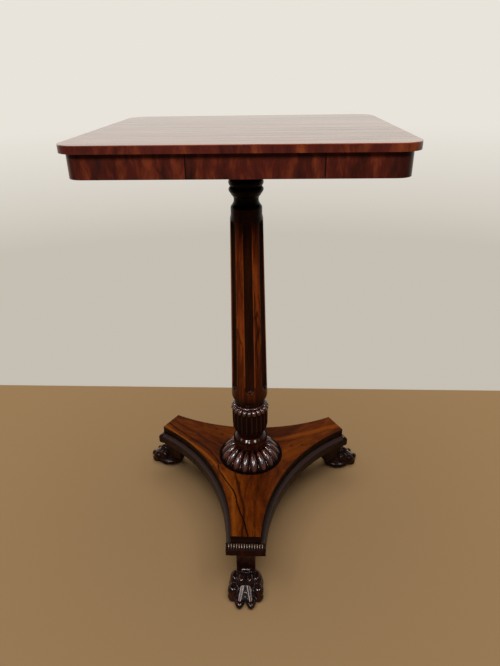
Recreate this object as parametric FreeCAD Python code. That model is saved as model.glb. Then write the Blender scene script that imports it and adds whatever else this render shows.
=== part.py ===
import FreeCAD, Part
import math
import os

# Driving dimensions in millimetres. The members stand on each other, so these
# heights add up to the height of the table.
foot_height = 70.5
platform_core_thickness = 38.0
veneer_thickness = 1.0
boss_height = 27.5
collar_height = 28.0
vase_height = 75.0
shaft_height = 374.0
capital_height = 87.0
pillar_block_thickness = 24.0
top_core_thickness = 9.0

# Fits. Glued flat faces touch, round pegs have a thin glue space.
glue_space = 0.1
cut_overrun = 2.0

# Top board and its frieze.
top_width = 440.0
top_depth = 412.0
top_corner_radius = 31.0
frieze_setback = 8.5
frieze_depth = 31.0
rail_thickness = 18.0
corner_block_size = 42.0
tongue_thickness = 6.0
tongue_length = 10.0
tongue_shoulder = 4.0
glue_block_leg = 14.0
glue_block_length = 50.0
glue_block_place_share = 0.84

# Pillar block and bearers under the top board.
pillar_block_width = 120.0
pillar_block_length = 150.0
bearer_width = 46.0
bearer_thickness = 20.0

# Wood screws.
screw_radius = 2.1
screw_head_radius = 4.2
screw_head_height = 2.7
screw_point_length = 4.0
screw_bite = 6.0
screw_slot_width = 0.9
screw_slot_depth = 1.0
block_screw_inset = 16.0
bearer_screw_inset = 40.0

# Pillar, from the top down.
tenon_radius = 13.0
wedge_length = 18.0
wedge_thick_end = 4.0
wedge_thin_end = 1.2
capital_radius = 28.0
shaft_top_radius = 27.0
shaft_foot_radius = 33.9
shaft_waist_radius = 27.1
shaft_shoulder_height = 18.0
neck_height = 12.5
neck_radius = 25.6
neck_step = 3.5
flute_count = 6
flute_turn = 4.0
flute_radius = 10.3
flute_depth = 6.5
flute_foot_margin = 34.8
flute_head_margin = 18.0
flute_taper_share = 0.88
vase_radius = 34.6
reed_count = 22
reed_groove_angle = 4.5
reed_groove_depth = 2.2
reed_foot_share = 0.12
reed_length_share = 0.84
collar_radius = 33.6
boss_radius = 63.0
boss_plate_height = 1.8
boss_neck_radius = 30.8
gadroon_count = 18
gadroon_half_length = 21.0
gadroon_half_width = 9.0
gadroon_tilt = 37.0
gadroon_seat_share = 0.22

# Three-armed platform. Its faces are measured to the veneer's outer side.
arm_reach = 212.0
arm_end_width = 51.2
side_curve_radius = 364.6
moulding_height = 21.5
moulding_projection = 8.7
moulding_round = 8.4
moulding_arris = 1.6
bead_count = 14
bead_height = 10.0
bead_recess = 1.4
bead_girth_share = 0.92
mitre_tongue_thickness = 8.0
mitre_tongue_width = 24.0
mitre_tongue_start = 20.0
mitre_tongue_end = 68.0

# Paw feet, with distances measured out from the pillar's axis along the arm.
ankle_near = 180.0
ankle_far = 213.0
ankle_width = 33.0
ankle_depth = 26.0
cuff_centre = 206.0
cuff_height = 43.0
cuff_half_length = 25.0
cuff_half_width = 23.0
cuff_half_depth = 14.0
pad_centre = 222.0
pad_height = 14.0
pad_half_length = 34.0
pad_half_width = 27.0
pad_half_depth = 23.0
toe_root = 211.0
toe_root_height = 37.0
toe_tip_height = 8.0
toe_radius = 10.4
middle_toe_tip = 264.0
middle_toe_root_spread = 4.5
middle_toe_tip_spread = 9.6
side_toe_tip = 252.0
side_toe_root_spread = 10.5
side_toe_tip_spread = 24.0
claw_root_radius = 4.4
claw_tip_radius = 1.5
claw_run = 9.5
claw_set_back = 3.5
claw_root_height = 9.0
claw_tip_height = 2.4
dowel_radius = 6.0
dowel_length = 36.0
dowel_spacing = 17.0

# Heights of the seats, from the floor up.
platform_core_top = foot_height + platform_core_thickness
platform_top = platform_core_top + veneer_thickness
collar_foot = platform_top + boss_height
vase_foot = collar_foot + collar_height
shaft_foot = vase_foot + vase_height
capital_foot = shaft_foot + shaft_height
block_foot = capital_foot + capital_height
board_foot = block_foot + pillar_block_thickness
board_top = board_foot + top_core_thickness

full_turn = 360.0
arm_spread = full_turn / 3
arm_angles = {"front": -90.0, "right": 30.0, "left": 150.0}
side_angles = {"left": 210.0, "right": 330.0, "back": 90.0}
bore_radius = tenon_radius + glue_space
origin = FreeCAD.Vector(0, 0, 0)
upward = FreeCAD.Vector(0, 0, 1)


def at(x, y, z=0):
    return FreeCAD.Vector(x, y, z)


def box(low, high):
    size = high - low
    return Part.makeBox(size.x, size.y, size.z, low)


def peg(radius, foot, head):
    return Part.makeCylinder(radius, head - foot, at(0, 0, foot))


def turned_about_pillar(shape, angle):
    copy = shape.copy()
    copy.rotate(origin, upward, angle)
    return copy


def moved(shape, x, y, z=0):
    copy = shape.copy()
    copy.translate(at(x, y, z))
    return copy


def ellipsoid(half_length, half_width, half_depth, centre):
    scale = FreeCAD.Matrix()
    scale.scale(half_length, half_width, half_depth)
    return moved(Part.makeSphere(1).transformGeometry(scale), centre.x, centre.y, centre.z)


def prism(points, foot, height):
    corners = [at(x, y, foot) for x, y in points]
    return Part.Face(Part.makePolygon(corners + corners[:1])).extrude(at(0, 0, height))


def edges_of(runs):
    # One edge per run: two points are a line, three an arc, more a smooth curve.
    edges = []
    for run in runs:
        if len(run) == 2:
            edges.append(Part.makeLine(*run))
        elif len(run) == 3:
            edges.append(Part.Arc(*run).toShape())
        else:
            curve = Part.BSplineCurve()
            curve.interpolate(run)
            edges.append(curve.toShape())
    return edges


def spun(runs, inner_radius, foot_z, top_z):
    # Spins an outline in the XZ plane about the pillar's axis, around a bore.
    first, last = runs[0][0], runs[-1][-1]
    closing = []
    if first.x > inner_radius:
        closing.append([at(inner_radius, 0, foot_z), first])
    if last.x > inner_radius:
        closing.append([last, at(inner_radius, 0, top_z)])
    closing.append([at(inner_radius, 0, top_z), at(inner_radius, 0, foot_z)])
    face = Part.Face(Part.Wire(Part.__sortEdges__(edges_of(closing[:1] + runs + closing[1:]))))
    return face.revolve(origin, upward, full_turn)


def turning(share_runs, radius, foot, height, inner_radius):
    # A turned member: its outline is given in shares of its radius and height.
    runs = [[at(r * radius, 0, foot + h * height) for r, h in run] for run in share_runs]
    return spun(runs, inner_radius, foot, foot + height)


def rounded_rectangle(width, depth, radius, foot, height):
    x, y = width / 2, depth / 2
    slab = box(at(-x, -y, foot), at(x, y, foot + height))
    upright = [e for e in slab.Edges if abs(e.Vertexes[0].Z - e.Vertexes[1].Z) > height / 2]
    return slab.makeFillet(radius, upright)


def wood_screw(length, slack=0):
    # Points up, with its head's face at the level of the origin.
    shank = screw_radius + slack
    outline = [
        [at(screw_head_radius + slack, 0, 0), at(shank, 0, screw_head_height)],
        [at(shank, 0, screw_head_height), at(shank, 0, length - screw_point_length)],
        [at(shank, 0, length - screw_point_length), at(0, 0, length + slack)],
    ]
    first = [at(0, 0, 0), at(screw_head_radius + slack, 0, 0)]
    last = [at(0, 0, length + slack), at(0, 0, 0)]
    face = Part.Face(Part.Wire(edges_of([first] + outline + [last])))
    return face.revolve(origin, upward, full_turn)


def slotted_screw(length):
    slot = box(at(-screw_head_radius, -screw_slot_width / 2, -cut_overrun),
               at(screw_head_radius, screw_slot_width / 2, screw_slot_depth))
    return wood_screw(length).cut(slot)


def each_at(shape, places, foot):
    return [moved(shape, x, y, foot) for x, y in places]


# Screws under the top board.
def block_screw_places():
    x = pillar_block_width / 2 - block_screw_inset
    y = pillar_block_length / 2 - block_screw_inset
    return [(sx * x, sy * y) for sx in (-1, 1) for sy in (-1, 1)]


def bearer_place():
    return (pillar_block_width + bearer_width) / 2


def bearer_length():
    return top_depth - 2 * (frieze_setback + veneer_thickness + rail_thickness)


def bearer_screw_places():
    y = bearer_length() / 2 - bearer_screw_inset
    return [(sx * bearer_place(), sy * y) for sx in (-1, 1) for sy in (-1, 0, 1)]


def block_screw_length():
    return pillar_block_thickness + screw_bite


def bearer_screw_length():
    return bearer_thickness + screw_bite


def block_screws():
    return each_at(slotted_screw(block_screw_length()), block_screw_places(), block_foot)


def bearer_screws():
    foot = board_foot - bearer_thickness
    return each_at(slotted_screw(bearer_screw_length()), bearer_screw_places(), foot)


def block_screw_holes():
    hole = wood_screw(block_screw_length(), glue_space)
    return each_at(hole, block_screw_places(), block_foot)


def bearer_screw_holes():
    hole = wood_screw(bearer_screw_length(), glue_space)
    return each_at(hole, bearer_screw_places(), board_foot - bearer_thickness)


# Top board: a plain core, a veneer leaf on it and bands round its edge.
def top_core():
    slab = rounded_rectangle(top_width - 2 * veneer_thickness, top_depth - 2 * veneer_thickness,
                             top_corner_radius - veneer_thickness, board_foot, top_core_thickness)
    return slab.cut(block_screw_holes() + bearer_screw_holes())


def top_veneer():
    return rounded_rectangle(top_width, top_depth, top_corner_radius, board_top, veneer_thickness)


def skin_round(width, depth, radius, foot, height):
    # The ring of veneer round a board, cut into four sides and four corners.
    ring = rounded_rectangle(width, depth, radius, foot, height).cut(
        rounded_rectangle(width - 2 * veneer_thickness, depth - 2 * veneer_thickness,
                          radius - veneer_thickness, foot, height))
    x, y = width / 2, depth / 2
    reach = radius + cut_overrun
    pieces = {}
    for name, sx, sy in (("front_left", -1, -1), ("front_right", 1, -1),
                         ("back_left", -1, 1), ("back_right", 1, 1)):
        near = at(sx * (x - radius), sy * (y - radius), foot)
        far = near + at(sx * reach, sy * reach, height)
        low = at(min(near.x, far.x), min(near.y, far.y), foot)
        high = at(max(near.x, far.x), max(near.y, far.y), foot + height)
        pieces[name] = ring.common(box(low, high))
    straight_x, straight_y = x - radius, y - radius
    for name, sy in (("front", -1), ("back", 1)):
        edges = sorted((sy * (y - veneer_thickness), sy * y))
        pieces[name] = box(at(-straight_x, edges[0], foot), at(straight_x, edges[1], foot + height))
    for name, sx in (("left", -1), ("right", 1)):
        edges = sorted((sx * (x - veneer_thickness), sx * x))
        pieces[name] = box(at(edges[0], -straight_y, foot), at(edges[1], straight_y, foot + height))
    return pieces


def edge_bands():
    return skin_round(top_width, top_depth, top_corner_radius, board_foot, top_core_thickness)


# Frieze: four rails tongued into corner blocks, faced with veneer.
frieze_foot = board_foot - frieze_depth
frieze_width = top_width - 2 * frieze_setback
frieze_length = top_depth - 2 * frieze_setback
frieze_corner_radius = top_corner_radius - frieze_setback


def frieze_veneers():
    return skin_round(frieze_width, frieze_length, frieze_corner_radius, frieze_foot, frieze_depth)


def rail(face_span, face_distance, slack=0):
    # Runs along X at the front, its outer face at the given distance from the centre.
    half = face_span / 2 - corner_block_size
    inner = rail_thickness - face_distance
    body = box(at(-half, -face_distance, frieze_foot), at(half, inner, board_foot))
    middle = inner - rail_thickness / 2
    tongue = box(at(-half - tongue_length - slack, middle - tongue_thickness / 2 - slack,
                    frieze_foot + tongue_shoulder - slack),
                 at(half + tongue_length + slack, middle + tongue_thickness / 2 + slack,
                    board_foot - tongue_shoulder + slack))
    return body.fuse(tongue).removeSplitter()


def frieze_core_width():
    return frieze_width - 2 * veneer_thickness


def frieze_core_length():
    return frieze_length - 2 * veneer_thickness


def frieze_rails(slack=0):
    wide, deep = frieze_core_width(), frieze_core_length()
    front = rail(wide, deep / 2, slack)
    side = rail(deep, wide / 2, slack)
    return {
        "front": front,
        "back": turned_about_pillar(front, full_turn / 2),
        "right": turned_about_pillar(side, full_turn / 4),
        "left": turned_about_pillar(side, -full_turn / 4),
    }


def corner_blocks():
    wide, deep = frieze_core_width(), frieze_core_length()
    outer = rounded_rectangle(wide, deep, frieze_corner_radius - veneer_thickness,
                              frieze_foot, frieze_depth)
    grooves = list(frieze_rails(glue_space).values())
    blocks = {}
    for name, sx, sy in (("front_left", -1, -1), ("front_right", 1, -1),
                         ("back_left", -1, 1), ("back_right", 1, 1)):
        x = sorted((sx * wide / 2, sx * (wide / 2 - corner_block_size)))
        y = sorted((sy * deep / 2, sy * (deep / 2 - corner_block_size)))
        square = box(at(x[0], y[0], frieze_foot), at(x[1], y[1], board_foot))
        blocks[name] = outer.common(square).cut(grooves)
    return blocks


def glue_blocks():
    # Triangular blocks in the angle between the rails and the board.
    legs = [at(0, 0, 0), at(0, glue_block_leg, 0), at(0, 0, -glue_block_leg)]
    face = Part.Face(Part.makePolygon(legs + legs[:1]))
    block = moved(face.extrude(at(glue_block_length, 0, 0)), -glue_block_length / 2, 0, board_foot)
    blocks = []
    for span, distance, angle in ((frieze_core_width(), frieze_core_length() / 2, 0),
                                  (frieze_core_length(), frieze_core_width() / 2, full_turn / 4)):
        inner_half = span / 2 - corner_block_size
        place = glue_block_place_share * inner_half
        for side in (-1, 1):
            seated = moved(block, side * place, rail_thickness - distance)
            blocks.append(turned_about_pillar(seated, angle))
            blocks.append(turned_about_pillar(seated, angle + full_turn / 2))
    return blocks


# Pillar block, bored for the tenon, between two bearers.
def pillar_block():
    x, y = pillar_block_width / 2, pillar_block_length / 2
    block = box(at(-x, -y, block_foot), at(x, y, board_foot))
    return block.cut([peg(bore_radius, block_foot, board_foot)] + block_screw_holes())


def bearer(side):
    x, y = side * bearer_place(), bearer_length() / 2
    batten = box(at(x - bearer_width / 2, -y, board_foot - bearer_thickness),
                 at(x + bearer_width / 2, y, board_foot))
    return batten.cut(bearer_screw_holes())


# Wedges that spread the two ends of the pillar's tenon.
def wedge_prism(end, inward):
    # Thick at the tenon's end and thin towards the middle of the tenon.
    thick, thin = wedge_thick_end / 2, wedge_thin_end / 2
    tip = end + inward * wedge_length
    corners = [at(-thick, -tenon_radius, end), at(thick, -tenon_radius, end),
               at(thin, -tenon_radius, tip), at(-thin, -tenon_radius, tip)]
    face = Part.Face(Part.makePolygon(corners + corners[:1]))
    return face.extrude(at(0, 2 * tenon_radius, 0))


def tenon_wedge(end, inward):
    low, high = sorted((end, end + inward * wedge_length))
    return wedge_prism(end, inward).common(peg(tenon_radius, low, high))


def capital():
    # Turned rings over a deep hollow, with a flared foot that meets the neck.
    outline_shares = [
        [(0.91, 0.0), (0.90, 0.02), (0.80, 0.065), (0.73, 0.095), (0.715, 0.14),
         (0.73, 0.185), (0.83, 0.23), (0.90, 0.268)],
        [(0.90, 0.268), (1.0, 0.328), (0.885, 0.388)],
        [(0.885, 0.388), (1.0, 0.460), (0.90, 0.532)],
        [(0.90, 0.532), (0.84, 0.60), (0.86, 0.72), (0.96, 0.84), (1.07, 0.90)],
        [(1.07, 0.90), (1.07, 1.0)],
    ]
    return turning(outline_shares, capital_radius, capital_foot, capital_height, bore_radius)


def flute():
    # A long tapering hollow with round ends, laid along the slope of the shaft.
    foot = shaft_foot + flute_foot_margin
    length = capital_foot - flute_head_margin - foot
    large, small = flute_radius, flute_radius * flute_taper_share
    half_turn = math.sin(math.pi / 4)
    runs = [
        [at(0, 0, 0), at(large * half_turn, 0, large * (1 - half_turn)), at(large, 0, large)],
        [at(large, 0, large), at(small, 0, length - small)],
        [at(small, 0, length - small), at(small * half_turn, 0, length - small * (1 - half_turn)),
         at(0, 0, length)],
        [at(0, 0, length), at(0, 0, 0)],
    ]
    hollow = Part.Face(Part.Wire(edges_of(runs))).revolve(origin, upward, full_turn)
    run = capital_foot - neck_height - neck_step - shaft_foot - shaft_shoulder_height
    slope = math.degrees(math.atan((shaft_foot_radius - shaft_top_radius) / run))
    hollow.rotate(origin, at(0, 1, 0), -slope)
    return moved(hollow, shaft_foot_radius + flute_radius - flute_depth, 0, foot)


def pillar_shaft():
    shoulder = shaft_foot + shaft_shoulder_height
    neck = capital_foot - neck_height
    swell = shaft_foot_radius - shaft_waist_radius
    shoulder_shares = [(0.0, 0.0), (0.10, 0.18), (0.42, 0.42), (0.80, 0.72), (0.97, 0.92), (1.0, 1.0)]
    shoulder_run = [at(shaft_waist_radius + r * swell, 0, shaft_foot + h * shaft_shoulder_height)
                    for r, h in shoulder_shares]
    runs = [
        [at(tenon_radius, 0, foot_height), at(tenon_radius, 0, shaft_foot)],
        [at(tenon_radius, 0, shaft_foot), at(shaft_waist_radius, 0, shaft_foot)],
        shoulder_run,
        [at(shaft_foot_radius, 0, shoulder), at(shaft_top_radius, 0, neck - neck_step)],
        [at(shaft_top_radius, 0, neck - neck_step), at(neck_radius, 0, neck)],
        [at(neck_radius, 0, neck), at(neck_radius, 0, capital_foot)],
        [at(neck_radius, 0, capital_foot), at(tenon_radius, 0, capital_foot)],
        [at(tenon_radius, 0, capital_foot), at(tenon_radius, 0, board_foot)],
    ]
    shaft = spun(runs, 0, foot_height, board_foot)
    step = full_turn / flute_count
    first = arm_angles["front"] + flute_turn
    flutes = [turned_about_pillar(flute(), first + i * step) for i in range(flute_count)]
    kerfs = [wedge_prism(board_foot, -1), wedge_prism(foot_height, 1)]
    return shaft.cut(flutes + kerfs)


def reeded_vase():
    # An urn-shaped member, reeded all round between its foot and its lip.
    outline_shares = [
        [(0.755, 0.0), (0.77, 0.06), (0.82, 0.11), (0.90, 0.17), (0.92, 0.21)],
        [(0.92, 0.21), (0.99, 0.28), (0.99, 0.46), (1.0, 0.60), (1.0, 0.76), (0.965, 0.81)],
        [(0.965, 0.81), (0.985, 0.855), (0.93, 0.915), (0.86, 0.965)],
        [(0.86, 0.965), (0.79, 1.0)],
    ]
    whole = turning(outline_shares, vase_radius, vase_foot, vase_height, bore_radius)
    core = turning(outline_shares, vase_radius - reed_groove_depth, vase_foot, vase_height,
                   bore_radius)
    half = math.radians(reed_groove_angle / 2)
    reach = vase_radius + cut_overrun
    slot = prism([(0, 0), (reach, -reach * math.tan(half)), (reach, reach * math.tan(half))],
                 vase_foot + vase_height * reed_foot_share, vase_height * reed_length_share)
    step = full_turn / reed_count
    slots = [turned_about_pillar(slot, (i + 0.5) * step).cut(core) for i in range(reed_count)]
    return whole.cut(slots)


def pillar_collar():
    # A polished swelling band under a hollow neck.
    outline_shares = [
        [(0.917, 0.0), (0.965, 0.15), (0.995, 0.33), (1.0, 0.44), (0.97, 0.54)],
        [(0.97, 0.54), (0.92, 0.57)],
        [(0.92, 0.57), (0.845, 0.67), (0.79, 0.80), (0.77, 0.92), (0.777, 1.0)],
    ]
    return turning(outline_shares, collar_radius, collar_foot, collar_height, bore_radius)


def gadroon():
    # One swelling lobe of the boss, an egg laid on the slope of the dome.
    egg = ellipsoid(gadroon_half_length, gadroon_half_width, gadroon_half_width, origin)
    egg.rotate(origin, at(0, 1, 0), gadroon_tilt)
    reach = gadroon_half_length * math.cos(math.radians(gadroon_tilt))
    seat = platform_top + boss_height * gadroon_seat_share
    return moved(egg, boss_radius - boss_plate_height - reach, 0, seat)


def gadroon_boss():
    neck_share = boss_neck_radius / boss_radius
    plate_share = boss_plate_height / boss_height
    outline_shares = [
        [(1.0, 0.0), (1.0, plate_share)],
        [(1.0, plate_share), (0.93, plate_share)],
        [(0.93, plate_share), (0.80, 0.27), (0.62, 0.56), (neck_share, 0.88)],
        [(neck_share, 0.88), (neck_share, 1.0)],
    ]
    dome = turning(outline_shares, boss_radius, platform_top, boss_height, bore_radius)
    step = full_turn / gadroon_count
    lobe = gadroon()
    lobes = [turned_about_pillar(lobe, -full_turn / 4 + (i + 0.5) * step)
             for i in range(gadroon_count)]
    room = peg(boss_radius, platform_top, collar_foot).cut(peg(bore_radius, platform_top, collar_foot))
    return dome.fuse(lobes).common(room)


# Plan of the platform. An offset grows it outward from the veneered faces.
def side_centre_distance():
    corner = math.hypot(arm_reach, arm_end_width / 2)
    turn = math.radians(arm_spread / 2) - math.atan2(arm_end_width / 2, arm_reach)
    along = corner * math.cos(turn)
    return along + math.sqrt(along ** 2 - corner ** 2 + side_curve_radius ** 2)


def side_centre():
    distance = side_centre_distance()
    turn = math.radians(arm_spread / 2)
    return at(distance * math.cos(turn), distance * math.sin(turn))


def arm_half_width(offset):
    # Half the width of an arm's end where the grown side curve meets it.
    centre = side_centre()
    along = arm_reach + offset - centre.x
    return centre.y - math.sqrt((side_curve_radius - offset) ** 2 - along ** 2)


def platform_slab(offset, foot, height):
    half = arm_half_width(offset)
    end = [at(arm_reach + offset, -half, foot), at(arm_reach + offset, half, foot)]
    middle_distance = side_centre_distance() - side_curve_radius + offset
    turn = math.radians(arm_spread / 2)
    middle = at(middle_distance * math.cos(turn), middle_distance * math.sin(turn), foot)
    next_corner = FreeCAD.Rotation(upward, arm_spread).multVec(end[0])
    edges = []
    for angle in (0, arm_spread, 2 * arm_spread):
        for edge in edges_of([end, [end[1], middle, next_corner]]):
            edges.append(turned_about_pillar(edge, angle))
    return Part.Face(Part.Wire(edges)).extrude(at(0, 0, height))


def arm_sector(foot, height):
    reach = 2 * arm_reach
    turn = math.radians(arm_spread / 2)
    x, y = reach * math.cos(turn), reach * math.sin(turn)
    return prism([(0, 0), (x, -y), (reach, -y), (reach, y), (x, y)], foot, height)


def mitre_tongue(slack=0):
    # Loose tongue across the joint between two arms.
    tongue = box(at(mitre_tongue_start - slack, -mitre_tongue_width / 2 - slack,
                    foot_height + (platform_core_thickness - mitre_tongue_thickness) / 2 - slack),
                 at(mitre_tongue_end + slack, mitre_tongue_width / 2 + slack,
                    foot_height + (platform_core_thickness + mitre_tongue_thickness) / 2 + slack))
    return turned_about_pillar(tongue, arm_spread / 2)


def foot_dowels(slack=0):
    middle = (ankle_near + ankle_far) / 2
    dowel = Part.makeCylinder(dowel_radius + slack, dowel_length + 2 * slack,
                              at(0, 0, foot_height - dowel_length / 2 - slack))
    return [moved(dowel, middle + side * dowel_spacing / 2, 0) for side in (-1, 1)]


def platform_arm():
    slab = platform_slab(-veneer_thickness, foot_height, platform_core_thickness)
    bore = peg(bore_radius, foot_height, platform_core_top)
    groove = mitre_tongue(glue_space)
    arm = slab.common(arm_sector(foot_height, platform_core_thickness))
    return arm.cut([bore, groove, turned_about_pillar(groove, -arm_spread)] + foot_dowels(glue_space))


def platform_leaf():
    # The veneer leaf of one arm, with its grain along the arm.
    sheet = platform_slab(0, platform_core_top, veneer_thickness)
    leaf = sheet.common(arm_sector(platform_core_top, veneer_thickness))
    return leaf.cut(peg(bore_radius, platform_core_top, platform_top))


def end_zone():
    # Wedge of plan between the two mitres at the end of an arm, longer than the mitres.
    corner = at(arm_reach - veneer_thickness, arm_half_width(-veneer_thickness))
    tip = at(arm_reach + moulding_projection, arm_half_width(moulding_projection))
    near, far = corner * 2 - tip, tip * 2 - corner
    return prism([(near.x, -near.y), (far.x, -far.y), (far.x, far.y), (near.x, near.y)],
                 foot_height - cut_overrun, platform_core_thickness + 2 * cut_overrun)


def section_face(runs, along):
    # Stands a section up: along holds the plan place for a distance from the core.
    stood = [[along(p.x) + at(0, 0, p.z) for p in run] for run in runs]
    return Part.Face(Part.Wire(edges_of(stood)))


def on_side(runs):
    # Follows the hollow side between two arms and stops at their mitres.
    centre = side_centre()
    core_radius = side_curve_radius + veneer_thickness
    corner = at(arm_reach + moulding_projection, arm_half_width(moulding_projection))
    inward = math.degrees(math.atan2(-centre.y, -centre.x))
    towards = math.degrees(math.atan2(corner.y - centre.y, corner.x - centre.x))
    half_angle = towards - inward + math.degrees(cut_overrun / side_curve_radius)
    facing = FreeCAD.Rotation(upward, inward + half_angle).multVec(at(1, 0))
    face = section_face(runs, lambda d: centre + facing * (core_radius - d))
    ring = face.revolve(centre, upward, -2 * half_angle)
    zone = end_zone()
    return ring.cut([zone, turned_about_pillar(zone, arm_spread)])


def on_end(runs):
    # Crosses the end of an arm between its two mitres.
    reach = arm_reach - veneer_thickness
    half = arm_end_width
    face = section_face(runs, lambda d: at(reach + d, -half))
    return face.extrude(at(0, 2 * half, 0)).common(end_zone())


def fascia_section():
    low, high = foot_height + moulding_height, platform_core_top
    face = veneer_thickness
    corners = [at(0, 0, low), at(face, 0, low), at(face, 0, high), at(0, 0, high)]
    return [[corners[i], corners[(i + 1) % 4]] for i in range(4)]


def moulding_section(recess=0):
    # A quarter round over a plain band, its lower arris taken off.
    face = veneer_thickness + moulding_projection
    foot, head = foot_height, foot_height + moulding_height
    turn = (moulding_round - recess) * math.cos(math.pi / 4)
    start = face - moulding_round
    low = head - (moulding_round - recess)
    side = face - recess
    runs = [
        [at(0, 0, foot), at(face - moulding_arris, 0, foot)],
        [at(face - moulding_arris, 0, foot), at(face, 0, foot + moulding_arris)],
    ]
    if recess:
        ledge = head - bead_height
        runs.append([at(face, 0, foot + moulding_arris), at(face, 0, ledge)])
        runs.append([at(face, 0, ledge), at(side, 0, ledge)])
        runs.append([at(side, 0, ledge), at(side, 0, low)])
    else:
        runs.append([at(face, 0, foot + moulding_arris), at(face, 0, low)])
    runs.append([at(side, 0, low), at(start + turn, 0, low + turn), at(start, 0, head)])
    runs.append([at(start, 0, head), at(0, 0, head)])
    runs.append([at(0, 0, head), at(0, 0, foot)])
    return runs


def side_moulding():
    return on_side(moulding_section())


def beaded_moulding():
    # The end moulding, its quarter round cut back and carved as upright beads.
    bar = on_end(moulding_section(bead_recess))
    half_run = arm_half_width(0)
    radius = half_run / bead_count
    face = arm_reach + moulding_projection - radius
    low = foot_height + moulding_height - bead_height + radius
    high = foot_height + moulding_height - radius - bead_recess
    beads = []
    for i in range(bead_count):
        y = -half_run + (2 * i + 1) * radius
        beads.append(Part.makeCylinder(radius * bead_girth_share, high - low, at(face, y, low)))
        beads.append(Part.makeSphere(radius * bead_girth_share, at(face, y, high)))
    return bar.fuse(beads)


# Lion's paw foot, made pointing along X and then turned to its arm.
def toe(root, tip):
    # A toe with a knuckle and a swelling end, spun about its own line.
    length = (tip - root).Length
    outline_shares = [(0.0, 0.0), (0.62, 0.05), (1.0, 0.30), (0.86, 0.53), (1.0, 0.78),
                      (0.60, 0.955), (0.0, 1.0)]
    run = [at(r * toe_radius, 0, h * length) for r, h in outline_shares]
    face = Part.Face(Part.Wire(edges_of([run, [run[-1], run[0]]])))
    solid = face.revolve(origin, upward, full_turn)
    solid.Placement = FreeCAD.Placement(root, FreeCAD.Rotation(upward, tip - root))
    return solid


def claw(root, tip):
    line = tip - root
    return Part.makeCone(claw_root_radius, claw_tip_radius, line.Length, root, line)


def lion_paw():
    pieces = [
        box(at(ankle_near, -ankle_width / 2, foot_height - ankle_depth),
            at(ankle_far, ankle_width / 2, foot_height)),
        ellipsoid(cuff_half_length, cuff_half_width, cuff_half_depth, at(cuff_centre, 0, cuff_height)),
        ellipsoid(pad_half_length, pad_half_width, pad_half_depth, at(pad_centre, 0, pad_height)),
    ]
    for root_spread, tip_spread, toe_end in (
            (middle_toe_root_spread, middle_toe_tip_spread, middle_toe_tip),
            (side_toe_root_spread, side_toe_tip_spread, side_toe_tip)):
        for side in (-1, 1):
            root = at(toe_root, side * root_spread, toe_root_height)
            tip = at(toe_end, side * tip_spread, toe_tip_height)
            pieces.append(toe(root, tip))
            plan = at(tip.x - root.x, tip.y - root.y)
            plan.normalize()
            start = at(tip.x, tip.y, claw_root_height) - plan * claw_set_back
            end = start + plan * claw_run
            end.z = claw_tip_height
            pieces.append(claw(start, end))
    above_floor = box(at(0, -arm_reach, 0), at(2 * arm_reach, arm_reach, foot_height))
    paw = pieces[0].fuse(pieces[1:]).common(above_floor)
    return paw.cut(foot_dowels(glue_space))


def save(name, shape, shift):
    solids = []
    for piece in shape if isinstance(shape, list) else [shape]:
        solids.extend(piece.Solids)
    whole = solids[0] if len(solids) == 1 else Part.makeCompound(solids)
    moved(whole, 0, shift).exportStep("parts/%s.step" % name)
    print(name, len(solids), "solid", round(whole.Volume), "mm3", whole.isValid())


def build():
    os.makedirs("parts", exist_ok=True)
    paw = lion_paw()
    # The origin lies under the middle of the whole table. The front paw reaches
    # further out than the top's back edge, so the pillar stands behind it.
    paw_reach = paw.optimalBoundingBox().XMax
    shift = (paw_reach - top_depth / 2) / 2
    print("pillar axis at y", round(shift, 3), "table height", board_top + veneer_thickness)

    nodes = {"top_core": top_core(), "top_veneer": top_veneer(), "glue_blocks": glue_blocks(),
             "pillar_block": pillar_block(), "bearer_left": bearer(-1), "bearer_right": bearer(1),
             "block_screws": block_screws(), "bearer_screws": bearer_screws(),
             "tenon_wedges": [tenon_wedge(board_foot, -1), tenon_wedge(foot_height, 1)],
             "capital": capital(), "pillar_shaft": pillar_shaft(),
             "reeded_vase": reeded_vase(), "pillar_collar": pillar_collar(),
             "gadroon_boss": gadroon_boss()}
    bands = edge_bands()
    nodes["edge_band_corners"] = [bands.pop(name) for name in list(bands) if "_" in name]
    for group, pieces in (("edge_band", bands), ("frieze_veneer", frieze_veneers()),
                          ("frieze_rail", frieze_rails()), ("corner_block", corner_blocks())):
        for place, shape in pieces.items():
            nodes["%s_%s" % (group, place)] = shape
    by_arm = {"platform_arm": platform_arm(), "platform_leaf": platform_leaf(),
              "end_fascia": on_end(fascia_section()), "beaded_moulding": beaded_moulding(),
              "lion_paw": paw}
    for group, shape in by_arm.items():
        for place, angle in arm_angles.items():
            nodes["%s_%s" % (group, place)] = turned_about_pillar(shape, angle)
    by_side = {"side_fascia": on_side(fascia_section()), "side_moulding": side_moulding()}
    for group, shape in by_side.items():
        for place, angle in side_angles.items():
            nodes["%s_%s" % (group, place)] = turned_about_pillar(shape, angle - arm_spread / 2)
    nodes["mitre_tongues"] = [turned_about_pillar(mitre_tongue(), angle)
                              for angle in arm_angles.values()]
    nodes["foot_dowels"] = [turned_about_pillar(dowel, angle) for dowel in foot_dowels()
                            for angle in arm_angles.values()]
    for name, shape in nodes.items():
        save(name, shape, shift)
    print(len(nodes), "nodes")


build()
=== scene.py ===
import bpy
import math
import numpy as np
from mathutils import Matrix, Vector


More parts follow.
